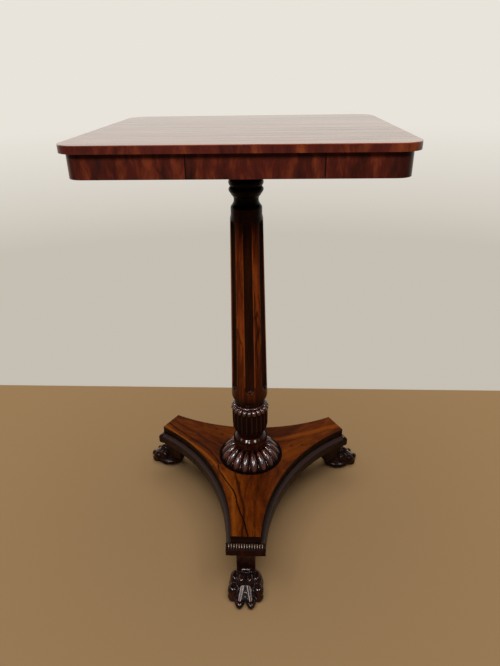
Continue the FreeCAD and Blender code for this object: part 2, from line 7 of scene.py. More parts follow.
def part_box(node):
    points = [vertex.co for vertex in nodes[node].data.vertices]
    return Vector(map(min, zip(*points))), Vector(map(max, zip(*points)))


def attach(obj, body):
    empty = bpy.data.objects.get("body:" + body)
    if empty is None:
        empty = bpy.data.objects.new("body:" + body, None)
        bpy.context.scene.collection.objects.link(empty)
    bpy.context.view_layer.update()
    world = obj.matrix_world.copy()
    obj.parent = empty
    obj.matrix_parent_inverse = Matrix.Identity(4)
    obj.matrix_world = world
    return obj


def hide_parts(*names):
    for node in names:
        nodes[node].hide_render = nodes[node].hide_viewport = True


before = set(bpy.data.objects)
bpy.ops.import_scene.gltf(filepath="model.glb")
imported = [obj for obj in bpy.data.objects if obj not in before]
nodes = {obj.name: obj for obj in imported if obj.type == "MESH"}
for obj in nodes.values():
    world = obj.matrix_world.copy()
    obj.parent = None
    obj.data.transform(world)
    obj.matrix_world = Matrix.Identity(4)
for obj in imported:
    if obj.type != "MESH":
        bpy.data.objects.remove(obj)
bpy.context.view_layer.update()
mm = 0.001
capitalLow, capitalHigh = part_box("capital")
axisY = (capitalLow.y + capitalHigh.y) / 2  # the pillar stands behind the middle of the top
armAngles = {"front": -90, "right": 30, "left": 150}
print("frame loaded,", len(nodes), "nodes, pillar axis at y", round(axisY / mm, 2))


# Camera, at the place and angle of the photograph

cameraView = {
    "place": (44.4, -802.4, 812.4), "turn": -2.87, "tilt": 27.01, "roll": -0.93, "lens": 28.04,
    "nearest": 10,
}


def placeCamera(values):
    turn, tilt, roll = (math.radians(values[k]) for k in ("turn", "tilt", "roll"))
    forward = Vector((math.sin(turn) * math.cos(tilt), math.cos(turn) * math.cos(tilt), -math.sin(tilt)))
    level = Vector((math.cos(turn), -math.sin(turn), 0))
    above = level.cross(forward)
    right = math.cos(roll) * level + math.sin(roll) * above
    up = math.cos(roll) * above - math.sin(roll) * level
    bpy.ops.object.camera_add()
    camera = bpy.context.object
    camera.name = "photoCamera"
    camera.matrix_world = Matrix.Translation([v * mm for v in values["place"]]) @ Matrix(
        (right, up, -forward)).transposed().to_4x4()
    camera.data.sensor_fit = "VERTICAL"
    camera.data.sensor_height = 36
    camera.data.lens = values["lens"]
    camera.data.clip_start = values["nearest"] * mm
    bpy.context.scene.camera = camera


placeCamera(cameraView)
print("camera placed")


# Materials

def linear(colour):
    parts = [int(colour[i:i + 2], 16) / 255 for i in (1, 3, 5)]
    return [c / 12.92 if c <= 0.04045 else ((c + 0.055) / 1.055) ** 2.4 for c in parts] + [1.0]


def addNode(tree, kind, settings=None, links=None):
    # Adds a node with its settings and links; a node given as a link stands for its first output.
    node = tree.nodes.new("ShaderNode" + kind)
    for name, value in (settings or {}).items():
        if isinstance(name, str) and hasattr(node, name):
            setattr(node, name, value)
        else:
            node.inputs[name].default_value = value
    for name, source in (links or {}).items():
        tree.links.new(source.outputs[0] if hasattr(source, "outputs") else source, node.inputs[name])
    return node


def fillRamp(ramp, tones, colours):
    # Sets the stops of a colour ramp, from the first to the last.
    stops = ramp.color_ramp.elements
    for tone in tones[1:-1]:
        stops.new(tone)
    for stop, tone, colour in zip(stops, tones, colours):
        stop.position, stop.color = tone, linear(colour)


def newMaterial(name):
    material = bpy.data.materials.new(name)
    material.use_nodes = True
    material.node_tree.nodes.clear()
    return material, material.node_tree


# Rosewood: dense and dark, with near-black lines wandering along an orange-brown to
# red-brown ground, and fine dark pores. Old shellac polish gives it a soft deep gloss.
rosewood = {
    "ground": ("#2a0f07", "#54230f", "#7a3a18"), "vein": "#120604", "pore": "#1a0a05",
    "warpLength": 90, "warp": 5, "figureLength": 150, "streakWidth": 9,
    "veinLength": 260, "veinGap": 16, "veinSharp": 0.035, "veinShare": 0.8,
    "poreLength": 7, "poreWidth": 0.9, "poreShare": 0.5,
    "rough": (0.2, 0.34), "coat": 0.35, "coatRough": 0.1, "ripple": 0.1, "ior": 1.3, "recessShare": 0,
    "recessRough": 0.5, "arris": None,
    "turn": (0, 0, 0), "centre": (0, 0, 0), "joints": (), "lines": (), "upwardSheen": None,
}

# What all rosewood shares: the tones of noise between which a thing sets in, and sizes in millimetres.
grain = {
    "figureStops": (0.3, 0.5, 0.7), "veinPatch": (0.42, 0.58), "poreTones": (0.58, 0.72),
    # The wax tint and its tones paint shade in hollows; the rubbed tones paint a highlight on arrises, as
    # well as their wear.
    "waxAndShadeTones": (0.45, 0.8), "rubbedAndLitTones": (0.45, 0.2), "waxAndShade": "#080302", "leafShift": (0.37, 0.61, 0.23),
    "jointHalf": 0.8, "wave": 26, "waveDepth": 1, "poreDepth": -0.15, "patchShare": 1.3,
    "wobble": 24, "lineEdge": 1.6,
    "lineReach": 90,  # how far across its leaf a drawn line may stray
}


def stretched(tree, source, length, width, **noise):
    # Noise drawn out along the grain.
    density = [1 / (size * mm) for size in (length, width, width)]
    at = addNode(tree, "VectorMath", {"operation": "MULTIPLY", 1: density}, {0: source})
    return addNode(tree, "TexNoise", {"Scale": 1, **noise}, {"Vector": at})


def darken(tree, source, factor, tint):
    return addNode(tree, "Mix", {"data_type": "RGBA", 7: linear(tint)},
                   {0: factor, 6: source}).outputs[2]


def layGrain(tree, place, look):
    # Where a point lies along and across the grain, for a whole leaf and, past a joint, for another one.
    whole = addNode(tree, "Mapping", {
        "vector_type": "TEXTURE", "Rotation": [math.radians(a) for a in look["turn"]],
        "Location": [c * mm for c in look["centre"]]}, {"Vector": place})
    local = whole
    for joint in look["joints"]:
        apart = addNode(tree, "SeparateXYZ", links={"Vector": place})
        past = addNode(tree, "Math", {"operation": "GREATER_THAN", 1: joint * mm},
                       {0: apart.outputs["X"]})
        local = addNode(tree, "VectorMath", {"operation": "MULTIPLY_ADD", 1: grain["leafShift"]},
                        {0: past, 2: local})
    return whole, local


def drawFigure(tree, look, whole, local):
    # The ground's colours with its dark veins and any drawn lines, and the figure that they follow.
    slow = addNode(tree, "TexNoise", {"Scale": 1 / (look["warpLength"] * mm), "Detail": 2},
                   {"Vector": local})
    sway = 4 * look["warp"] * mm
    drift = addNode(tree, "VectorMath", {"operation": "MULTIPLY_ADD", 1: (0, sway, sway)},
                    {0: slow.outputs["Color"], 2: local})
    figure = stretched(tree, drift, look["figureLength"], look["streakWidth"], Detail=4, Roughness=0.6)
    ground = addNode(tree, "ValToRGB", links={"Fac": figure})
    fillRamp(ground, grain["figureStops"], look["ground"])
    veins = stretched(tree, drift, look["veinLength"], look["veinGap"], Detail=3, Roughness=0.45)
    centred = addNode(tree, "Math", {"operation": "SUBTRACT", 1: 0.5}, {0: veins})
    away = addNode(tree, "Math", {"operation": "ABSOLUTE"}, {0: centred})
    line = addNode(tree, "MapRange", {
        "interpolation_type": "SMOOTHSTEP", "From Max": look["veinSharp"],
        "To Min": look["veinShare"], "To Max": 0.0}, {"Value": away})
    patch = addNode(tree, "TexNoise", {
        "Scale": 1 / (grain["patchShare"] * look["warpLength"] * mm), "Detail": 1}, {"Vector": local})
    shown = addNode(tree, "MapRange", {
        "From Min": grain["veinPatch"][0], "From Max": grain["veinPatch"][1]}, {"Value": patch})
    vein = addNode(tree, "Math", {"operation": "MULTIPLY"}, {0: line, 1: shown})
    shade = darken(tree, ground, vein, look["vein"])
    for *line, tint in look["lines"]:  # a bold dark line, or a bright streak that is part figure and part painted light, that wanders along the leaf
        shade = darken(tree, shade, wanderingLine(tree, whole, *line), tint)
    return shade, figure


def paintAgeAndLight(tree, look, shade):
    # Dark wax left in the hollows of the carving, and painted shade there; arrises rubbed to a lighter line
    # that is also a painted highlight; a painted sheen, a lighter tint, on upward faces.
    waxAndShade = None
    if look["recessShare"]:
        recess = addNode(tree, "Attribute", {"attribute_name": "recess"}).outputs["Fac"]
        waxAndShade = addNode(tree, "MapRange", {
            "From Min": grain["waxAndShadeTones"][0], "From Max": grain["waxAndShadeTones"][1],
            "To Max": look["recessShare"]}, {"Value": recess})
        shade = darken(tree, shade, waxAndShade, grain["waxAndShade"])
        # Arrises get a lighter line, part wear and part painted highlight.
        if look["arris"]:
            tint, share = look["arris"]
            wornAndLit = addNode(tree, "MapRange", {
                "From Min": grain["rubbedAndLitTones"][0], "From Max": grain["rubbedAndLitTones"][1], "To Max": share},
                {"Value": recess})
            shade = darken(tree, shade, wornAndLit, tint)
    # Painted sheen: faces turned upwards take a lighter tint.
    if look["upwardSheen"]:
        tint, share, lowest, highest = look["upwardSheen"]
        facing = addNode(tree, "SeparateXYZ", links={
            "Vector": addNode(tree, "NewGeometry").outputs["Normal"]})
        upward = addNode(tree, "MapRange", {
            "From Min": lowest, "From Max": highest, "To Max": share}, {"Value": facing.outputs["Z"]})
        shade = darken(tree, shade, upward, tint)
    return shade, waxAndShade


def makeRosewood(name, changes):
    look = {**rosewood, **changes}
    material, tree = newMaterial(name)
    place = addNode(tree, "TexCoord").outputs["Object"]
    whole, local = layGrain(tree, place, look)
    shade, figure = drawFigure(tree, look, whole, local)
    pores = stretched(tree, local, look["poreLength"], look["poreWidth"], Detail=1)
    pore = addNode(tree, "MapRange", {
        "From Min": grain["poreTones"][0], "From Max": grain["poreTones"][1], "To Max": look["poreShare"]},
        {"Value": pores})
    shade = darken(tree, shade, pore, look["pore"])
    for joint in look["joints"]:
        apart = addNode(tree, "SeparateXYZ", links={"Vector": place})
        gap = addNode(tree, "Math", {
            "operation": "COMPARE", 1: joint * mm, 2: grain["jointHalf"] * mm}, {0: apart.outputs["X"]})
        shade = darken(tree, shade, gap, look["vein"])
    shade, waxAndShade = paintAgeAndLight(tree, look, shade)

    rough = addNode(tree, "MapRange", {
        "From Min": grain["figureStops"][0], "From Max": grain["figureStops"][2],
        "To Min": look["rough"][1], "To Max": look["rough"][0]}, {"Value": figure})
    if waxAndShade is not None:  # waxed hollows, which also carry painted shade, are dull
        rough = addNode(tree, "Math", {
            "operation": "MULTIPLY_ADD", 1: look["recessRough"], "use_clamp": True},
            {0: waxAndShade, 2: rough})
    normal = {}
    if look["ripple"]:
        wave = addNode(tree, "TexNoise", {"Scale": 1 / (grain["wave"] * mm), "Detail": 1},
                       {"Vector": whole})
        height = addNode(tree, "Math", {"operation": "MULTIPLY_ADD", 1: grain["poreDepth"]},
                         {0: pore, 2: wave})
        bump = addNode(tree, "Bump", {
            "Strength": look["ripple"], "Distance": grain["waveDepth"] * mm}, {"Height": height})
        normal = {"Normal": bump}
    shader = addNode(tree, "BsdfPrincipled", {
        "IOR": look["ior"], "Coat Weight": look["coat"], "Coat Roughness": look["coatRough"],
        "Coat IOR": look["ior"]}, {"Base Color": shade, "Roughness": rough, **normal})
    addNode(tree, "OutputMaterial", links={"Surface": shader})
    return material


def wanderingLine(tree, local, places, shake, width, core, share):
    # The line's course is given as places along the grain and across it, in millimetres.
    apart = addNode(tree, "SeparateXYZ", links={"Vector": local})
    start, end, reach = places[0][0], places[-1][0], grain["lineReach"]
    along = addNode(tree, "MapRange", {"From Min": start * mm, "From Max": end * mm},
                    {"Value": apart.outputs["X"]})
    course = addNode(tree, "FloatCurve", links={"Value": along})
    curve = course.mapping.curves[0]
    for i, (x, y) in enumerate(places):
        spot = ((x - start) / (end - start), 0.5 + y / (2 * reach))
        if i in (0, len(places) - 1):
            curve.points[0 if i == 0 else -1].location = spot
        else:
            curve.points.new(*spot)
    course.mapping.update()
    wobble = addNode(tree, "TexNoise", {"Scale": 1 / (grain["wobble"] * mm), "Detail": 2},
                     {"Vector": local})
    across = addNode(tree, "Math", {"operation": "MULTIPLY_ADD", 1: 1 / (2 * reach * mm), 2: 0.5},
                     {0: apart.outputs["Y"]})
    off = addNode(tree, "Math", {"operation": "SUBTRACT"}, {0: across, 1: course})
    shaken = addNode(tree, "Math", {"operation": "MULTIPLY_ADD", 1: shake / (2 * reach)},
                     {0: wobble, 2: off})
    centred = addNode(tree, "Math", {"operation": "SUBTRACT", 1: shake / (4 * reach)}, {0: shaken})
    away = addNode(tree, "Math", {"operation": "ABSOLUTE"}, {0: centred})
    half = width / (4 * reach)
    return addNode(tree, "MapRange", {
        "interpolation_type": "SMOOTHSTEP", "From Min": half * core, "From Max": half * grain["lineEdge"],
        "To Min": share, "To Max": 0.0}, {"Value": away})


# Mahogany and beech of the hidden carcase: sawn and planed, unpolished, so dull.
plainWood = {"grain": (90, 2.5, 2.5), "tones": (0.32, 0.68), "rough": 0.62, "bump": 0.25, "bumpDepth": 0.4}


def makePlainWood(name, dark, light):
    look = plainWood
    material, tree = newMaterial(name)
    place = addNode(tree, "TexCoord")
    local = addNode(tree, "Mapping", {
        "vector_type": "TEXTURE", "Scale": [size * mm for size in look["grain"]]},
        {"Vector": place.outputs["Object"]})
    fibre = addNode(tree, "TexNoise", {
        "Scale": 1, "Detail": 4, "Roughness": 0.6, "Distortion": 0.4}, {"Vector": local})
    ramp = addNode(tree, "ValToRGB", links={"Fac": fibre})
    fillRamp(ramp, look["tones"], (dark, light))
    bump = addNode(tree, "Bump", {"Strength": look["bump"], "Distance": look["bumpDepth"] * mm},
                   {"Height": fibre})
    shader = addNode(tree, "BsdfPrincipled", {"Roughness": look["rough"]},
                     {"Base Color": ramp, "Normal": bump})
    addNode(tree, "OutputMaterial", links={"Surface": shader})
    return material


# Blackened iron of hand-cut screws: dark, uneven and half dull.
screwIron = {
    "pit": 1.5, "colours": ("#3a2c24", "#6e6863"), "rough": (0.35, 0.7), "metal": 0.9, "bump": 0.3,
    "bumpDepth": 0.2,
}


def makeIron(name):
    look = screwIron
    material, tree = newMaterial(name)
    place = addNode(tree, "TexCoord")
    pits = addNode(tree, "TexNoise", {"Scale": 1 / (look["pit"] * mm), "Detail": 4},
                   {"Vector": place.outputs["Object"]})
    ramp = addNode(tree, "ValToRGB", links={"Fac": pits})
    fillRamp(ramp, (0, 1), look["colours"])
    rough = addNode(tree, "MapRange", {"To Min": look["rough"][0], "To Max": look["rough"][1]},
                    {"Value": pits})
    bump = addNode(tree, "Bump", {"Strength": look["bump"], "Distance": look["bumpDepth"] * mm},
                   {"Height": pits})
    shader = addNode(tree, "BsdfPrincipled", {"Metallic": look["metal"]}, {
        "Base Color": ramp, "Roughness": rough, "Normal": bump})
    addNode(tree, "OutputMaterial", links={"Surface": shader})
    return material


# The top: a pale sheen of old polish over a broad straight figure.
topVeneer = makeRosewood("topRosewood", {
    "ground": ("#5a2210", "#86391d", "#a34f2a"), "streakWidth": 14, "figureLength": 320, "veinGap": 30,
    "veinLength": 500, "warp": 4, "rough": (0.18, 0.3), "coat": 0.82, "coatRough": 0.15, "ripple": 0.06,
    "ior": 1.46})

# Edge and frieze: bands laid across the grain, so their orange streaks stand upright.
upright = (0, -90, 0)
crossGrain = {
    "turn": upright, "ground": ("#280e0b", "#45180f", "#6c2f19"), "figureLength": 60, "streakWidth": 15,
    "warp": 3, "warpLength": 40, "veinGap": 30, "veinLength": 90, "veinSharp": 0.05, "veinShare": 0.4,
    "poreShare": 0.35, "rough": (0.26, 0.4), "coat": 0.2, "coatRough": 0.14, "ior": 1.22}
friezeVeneer = makeRosewood("friezeRosewood", {**crossGrain, "joints": (-62, 105)})
shadedFrieze = makeRosewood("friezeRosewoodShaded", {  # painted shade: the veneer round the right-hand corner, darkened where it turns from the light
    **crossGrain, "ground": ("#210b07", "#2f100c", "#421a10")})
edgeVeneer = makeRosewood("edgeRosewood", {
    **crossGrain, "ground": ("#38130f", "#4e1c14", "#7c3a1c"), "streakWidth": 28, "figureLength": 90})

# What the platform's leaves show beside their common figure: dark lines, and bright orange streaks that are
# part figure and part painted light. Each line has its course, in places along the arm and across it, and
# then its shake, width, the share of it at full strength, strength and tint.
leafLines = {
    "front": [
        ([(20, -80), (40, -66), (69, -48), (111, -30), (166, -24), (212, -18)],
         5, 8, 0.1, 0.7, "#8c480c"),
        ([(30, -65), (50, -60), (69, -50.8), (111, -26.7), (152, -15), (180, -4.9), (212, 4)],
         3, 2.7, 0.5, 0.95, "#0d0401"),
        ([(66, -28), (85, -22), (112, -16), (135, -9), (152, -6)], 5, 6, 0.1, 0.8, "#180802"),
        ([(60, 20), (110, 17), (160, 12), (212, 16)], 10, 5, 0.1, 0.45, "#2a1004")],
    "left": [
        ([(20, 79), (69, 53), (130, 37), (180, 27), (212, 20)], 4, 7, 0.2, 0.75, "#8f4a0c"),
        ([(40, 58), (50, 50), (92, 33), (122, 27), (161, 19), (212, 8)],
         6, 4, 0.2, 0.85, "#1a0902"),
        ([(40, 18), (90, 14), (150, 2), (212, -6)], 9, 8, 0.1, 0.55, "#200b03")],
    "right": [
        ([(30, 20), (90, 8), (150, -2), (212, -8)], 8, 12, 0.1, 0.6, "#93480c")],
}

# The platform: bright leaves, with their grain along each arm.
onPillar = {"centre": (0, axisY / mm, 0)}
leafVeneers = {name: makeRosewood("platformRosewood_" + name, {
    **onPillar, "turn": (0, 0, angle), "ground": ("#381403", "#5d2605", "#7d3c0b"), "veinGap": 24,
    "veinLength": 120, "streakWidth": 22, "figureLength": 90, "warp": 7, "veinShare": 0.6,
    "rough": (0.24, 0.34), "coat": 0.15, "ior": 1.22, "lines": leafLines[name]})
    for name, angle in armAngles.items()}

# The platform's edge: near-black and half dull, with a painted sheen, a lighter grey tint, on the upward
# faces of beads and mouldings.
fasciaVeneer = makeRosewood("fasciaRosewood", {
    "ground": ("#0c0402", "#140603", "#241007"), "rough": (0.34, 0.46), "coat": 0.1, "ior": 1.15})
beadedWood = makeRosewood("beadedRosewood", {
    "ground": ("#140503", "#1e0a05", "#30120a"), "poreShare": 0.1, "rough": (0.25, 0.29),
    "coat": 0, "ior": 1.5, "ripple": 0, "upwardSheen": ("#9c7d66", 0.9, 0.5, 0.7)})
mouldingWood = makeRosewood("mouldingRosewood", {
    "ground": ("#0f0503", "#190904", "#280f08"), "rough": (0.3, 0.4), "coat": 0.15, "coatRough": 0.16,
    "ior": 1.2, "recessShare": 0.95, "ripple": 0.03, "upwardSheen": ("#3a2c28", 0.72, 0.1, 0.7)})

# The shaft: orange-brown lands between flutes darkened with old wax and painted shade, the arrises between
# them a lighter line that is wear and a painted highlight.
turnedWood = makeRosewood("turnedRosewood", {
    **onPillar, "turn": upright, "ground": ("#341002", "#602308", "#8c3f13"), "streakWidth": 8,
    "figureLength": 110, "recessShare": 0.9, "recessRough": 0, "arris": ("#8c522c", 0.7),
    "rough": (0.24, 0.34), "coat": 0.15, "ior": 1.18})

# Carving: dark close wood, whose light is the gloss of its polish, from bright crests to dull hollows,
# which are also darkened as painted shade.
carving = {"turn": upright, "poreShare": 0.1, "ripple": 0}
polishedCarving = makeRosewood("polishedCarving", {
    **carving, **onPillar, "ground": ("#1c0702", "#391005", "#6a290a"), "streakWidth": 8, "veinShare": 0.4,
    "recessShare": 0.96, "rough": (0.18, 0.21), "coat": 0.5, "coatRough": 0.15, "ior": 1.55})
collarWood = makeRosewood("polishedCollar", {  # small sharp highlights
    **carving, **onPillar, "ground": ("#160502", "#240a04", "#3c160a"), "streakWidth": 8, "veinShare": 0.4,
    "rough": (0.13, 0.16), "coat": 0.2, "ior": 1.24})
duskyCarving = makeRosewood("duskyCarving", {  # wear and a painted highlight grey the arrises of dark wood; painted shade darkens its channels
    **carving, **onPillar, "ground": ("#160502", "#220803", "#381307"), "recessShare": 0.8,
    "arris": ("#4a2e2a", 0.6), "poreShare": 0.2, "rough": (0.22, 0.28), "coat": 0.1, "ior": 1.16})
hollowWood = makeRosewood("shadedHollows", {  # painted shade: dull black on the ground between the lobes
    **carving, "ground": ("#070302", "#0b0403", "#140805"), "rough": (0.4, 0.5), "coat": 0, "ior": 1.1})
capitalWood = makeRosewood("shadedRosewood", {  # painted shade: a nearly black ground for the shade of the top, with painted shade in its hollows
    **carving, **onPillar, "ground": ("#080303", "#0d0605", "#1c0d09"), "recessShare": 0.9,
    "rough": (0.24, 0.3), "coat": 0.1, "ior": 1.13})
carvedWood = makeRosewood("carvedRosewood", {  # the front paw, with a bright spot on each knuckle and painted shade in its hollows
    **carving, "ground": ("#100402", "#1c0804", "#34120a"), "streakWidth": 8, "recessShare": 0.95,
    "rough": (0.13, 0.16), "coat": 0.5, "ior": 1.28})
dulledCarving = makeRosewood("dulledCarving", {  # the side paws, whose polish has gone dull, with a slightly darker ground as painted shade
    **carving, "ground": ("#0e0402", "#180703", "#2a0f08"), "streakWidth": 8, "recessShare": 0.95,
    "rough": (0.24, 0.3), "coat": 0.15, "coatRough": 0.16, "ior": 1.2})
clawWood = makeRosewood("clawsRubbedAndLit", {  # claws with a painted highlight, a grey line, on their arrises, as if rubbed
    **carving, "ground": ("#140503", "#240b06", "#3e180c"), "streakWidth": 8, "rough": (0.16, 0.2),
    "coat": 0.3, "recessShare": 0.5, "arris": ("#b6a8a0", 0.9)})
mahogany = makePlainWood("sawnMahogany", "#4a2416", "#8a4a2c")
beech = makePlainWood("planedBeech", "#a87a52", "#c89a6c")
iron = makeIron("blackenedIron")

# Each node takes the first material whose name begins as its own does.
byPrefix = {
    "top_veneer": topVeneer, "edge_band": edgeVeneer, "frieze_veneer_front_right": shadedFrieze,
    "frieze_veneer": friezeVeneer, "end_fascia": fasciaVeneer, "side_fascia": fasciaVeneer,
    "side_moulding": mouldingWood, "beaded_moulding": beadedWood, "capital": capitalWood,
    "pillar_shaft": turnedWood, "reeded_vase": duskyCarving, "pillar_collar": collarWood,
    "gadroon_boss": polishedCarving, "lion_paw": carvedWood, "block_screws": iron, "bearer_screws": iron,
    **{"platform_leaf_" + name: material for name, material in leafVeneers.items()},
    **dict.fromkeys(("top_core", "frieze_rail", "corner_block", "glue_blocks", "pillar_block",
                     "bearer_left", "bearer_right", "platform_arm"), mahogany),
    **dict.fromkeys(("mitre_tongues", "foot_dowels", "tenon_wedges"), beech),
}


def materialOf(name):
    return next(material for prefix, material in byPrefix.items() if name.startswith(prefix))


for name, node in nodes.items():
    for slot in node.material_slots:
        slot.material = materialOf(name)
print("materials made")


# Ways of working shared by the pieces

samePlace = 1e-6  # metres: places nearer than this are the same
weld = 0.01  # points nearer than this are merged
closest = 0.02  # points of an outline nearer than this are left out
shades = {"rubbedAndLit": 0.2, "clean": 0.5, "hollow": 1}  # the recess values: a rubbed arris with a painted highlight, clean wood, and a hollow with wax and painted shade


def selectOnly(piece):
    bpy.ops.object.select_all(action="DESELECT")
    piece.select_set(True)
    bpy.context.view_layer.objects.active = piece


def settle(piece):
    selectOnly(piece)
    bpy.ops.object.transform_apply(location=True, rotation=True, scale=True)


def applyModifier(piece, kind, settings):
    selectOnly(piece)
    modifier = piece.modifiers.new(kind.lower(), kind)
    for name, value in settings.items():
        setattr(modifier, name, value)
    bpy.ops.object.modifier_apply(modifier=modifier.name)


def joined(pieces):
    selectOnly(pieces[0])
    for piece in pieces[1:]:
        piece.select_set(True)
    bpy.ops.object.join()
    return bpy.context.object


def finishPiece(piece, name, material, replaced, smooth):
    piece.name = piece.data.name = name
    settle(piece)
    bpy.ops.object.shade_smooth_by_angle(angle=math.radians(smooth))
    piece.data.materials.clear()
    piece.data.materials.append(material)
    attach(piece, "root")
    if replaced:
        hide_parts(*replaced)
    print("made", name, len(piece.data.polygons), "faces")


def smoothRun(points, steps):
    # Points along an even curve through the given ones; one step keeps them as they are.
    ends = [points[0]] + list(points) + [points[-1]]
    course = []
    for a, b, c, d in zip(ends, ends[1:], ends[2:], ends[3:]):
        for i in range(steps):
            t = i / steps
            course.append(tuple(
                0.5 * (2 * q + (r - p) * t + (2 * p - 5 * q + 4 * r - s) * t ** 2
                       + (3 * q - p - 3 * r + s) * t ** 3) for p, q, r, s in zip(a, b, c, d)))
    return course + [points[-1]]


def between(points, x):
    return float(np.interp(x, [p[0] for p in points], [p[1] for p in points]))


def turningOutline(look):
    # The closed outline of a bored turning, in radii and heights, from the bore along its runs and back.
    outline = [(look["bore"], look["start"])]
    for steps, run in look["runs"]:
        outline += smoothRun(run, steps)
    outline += [(look["bore"], look["end"]), (look["bore"], look["start"])]
    return [p for p, q in zip(outline, outline[1:]) if math.dist(p, q) > closest] + [outline[-1]]


def turnOnPillar(rings, columns):
    # Draws a ring up the pillar, widening and narrowing it, as a turner's outline.
    radius, height = rings[0]
    bpy.ops.mesh.primitive_circle_add(
        vertices=columns, radius=radius * mm, location=(0, axisY, height * mm))
    piece = bpy.context.object
    bpy.ops.object.mode_set(mode="EDIT")
    bpy.ops.mesh.select_all(action="SELECT")
    for nextRadius, nextHeight in rings[1:]:
        rise = (nextHeight - height) * mm
        bpy.ops.mesh.extrude_edges_move(TRANSFORM_OT_translate={"value": (0, 0, rise)})
        ratio = nextRadius / radius
        bpy.ops.transform.resize(value=(ratio, ratio, 1), center_override=(0, axisY, nextHeight * mm))
        radius, height = nextRadius, nextHeight
    bpy.ops.mesh.select_all(action="SELECT")
    bpy.ops.mesh.remove_doubles(threshold=weld * mm)
    if rings[0] != rings[-1]:  # a solid turning: its two ends are closed
        bpy.ops.mesh.select_non_manifold(extend=False)
        bpy.ops.mesh.edge_face_add()
        bpy.ops.mesh.select_all(action="SELECT")
    bpy.ops.mesh.normals_make_consistent(inside=False)
    bpy.ops.object.mode_set(mode="OBJECT")
    settle(piece)
    return piece


def sink(piece, depthOf, greatest):
    # Cuts into the piece by the depth given for each angle round the pillar, radius and height.
    group = piece.vertex_groups.new(name="cut")
    for vertex in piece.data.vertices:
        depth = depthOf(*onPillarPlace(vertex))
        if depth:
            group.add([vertex.index], depth / greatest, "REPLACE")
    applyModifier(piece, "DISPLACE", {"vertex_group": "cut", "mid_level": 0, "strength": -greatest * mm})
    piece.vertex_groups.clear()


def onPillarPlace(vertex):
    # A point's angle round the pillar, its distance from the axis and its height.
    x, y = vertex.co.x / mm, (vertex.co.y - axisY) / mm
    return math.degrees(math.atan2(y, x)), math.hypot(x, y), vertex.co.z / mm


def addEgg(place, halves, slope=0, segments=24, taper=0):
    # A swelling, placed outwards, sideways and up from the pillar's axis, tipped down by its slope and
    # wider towards its outer end by its taper.
    bpy.ops.mesh.primitive_uv_sphere_add(segments=segments, ring_count=segments // 2, radius=1)
    egg = bpy.context.object
    for vertex in egg.data.vertices:
        vertex.co.y *= 1 + taper * vertex.co.x
    egg.scale = [h * mm for h in halves]
    egg.rotation_euler = (0, math.radians(slope), 0)
    settle(egg)
    egg.location = [p * mm for p in place]
    settle(egg)
    return egg


def addBlock(near, far, width, foot, head):
    # A block across an arm, from near to far out along it.
    bpy.ops.mesh.primitive_cube_add(size=1, location=((near + far) / 2 * mm, 0, (foot + head) / 2 * mm))
    block = bpy.context.object
    block.scale = ((far - near) * mm, width * mm, (head - foot) * mm)
    settle(block)
    return block


def cutBelow(piece, height):
    selectOnly(piece)
    bpy.ops.object.mode_set(mode="EDIT")
    bpy.ops.mesh.select_all(action="SELECT")
    bpy.ops.mesh.bisect(plane_co=(0, 0, height * mm), plane_no=(0, 0, 1), clear_inner=True, use_fill=True)
    bpy.ops.object.mode_set(mode="OBJECT")
    for vertex in piece.data.vertices:
        vertex.co.z = max(vertex.co.z, height * mm)
    return piece


def turnedCopies(pattern, angles):
    # Copies of a pattern that points outwards along X, set round the pillar at the given angles.
    copies = []
    for angle in angles:
        copy = pattern.copy()
        copy.data = pattern.data.copy()
        bpy.context.collection.objects.link(copy)
        copy.matrix_world = Matrix.Translation((0, axisY, 0)) @ Matrix.Rotation(math.radians(angle), 4, "Z")
        copies.append(copy)
    bpy.data.objects.remove(pattern)
    return copies


def onEachArm(pattern):
    # The name of each arm, with a copy of the pattern set on it.
    return zip(armAngles, turnedCopies(pattern, armAngles.values()))


def markShades(piece, shadeOf):
    # Stores the recess value, which paints shade in hollows and a highlight on arrises, for each angle
    # round the pillar, distance from its axis and height.
    settle(piece)
    field = piece.data.attributes.new("recess", "FLOAT", "POINT")
    for vertex, value in zip(piece.data.vertices, field.data):
        value.value = shadeOf(*onPillarPlace(vertex))


def shadeAbove(above, rise):
    # Painted shade: dark on the ground between lobes, clean on their crests.
    return shades["hollow"] - (shades["hollow"] - shades["clean"]) * min(1, max(0, above) / rise)


def markRecesses(piece, rounds, depth):
    # Stores how deep each point lies in a hollow, by its distance from an evened copy of the mesh; the wood
    # is darkened by it as painted shade.
    mesh = piece.data
    count = len(mesh.vertices)
    places = np.array([vertex.co for vertex in mesh.vertices])
    normals = np.array([vertex.normal for vertex in mesh.vertices])
    a, b = np.array([edge.vertices[:] for edge in mesh.edges]).T
    near = np.bincount(a, minlength=count) + np.bincount(b, minlength=count)
    even = places.copy()
    for _ in range(rounds):
        total = [np.bincount(a, even[b, k], count) + np.bincount(b, even[a, k], count) for k in range(3)]
        even = np.stack(total, 1) / np.maximum(near, 1)[:, None]
    value = shades["clean"] + ((even - places) * normals).sum(1) / (2 * depth * mm)
    field = mesh.attributes.new("recess", "FLOAT", "POINT")
    field.data.foreach_set("value", np.clip(value, 0, 1).astype(np.float32))


# Turned and fluted shaft, with a long tenon at each end

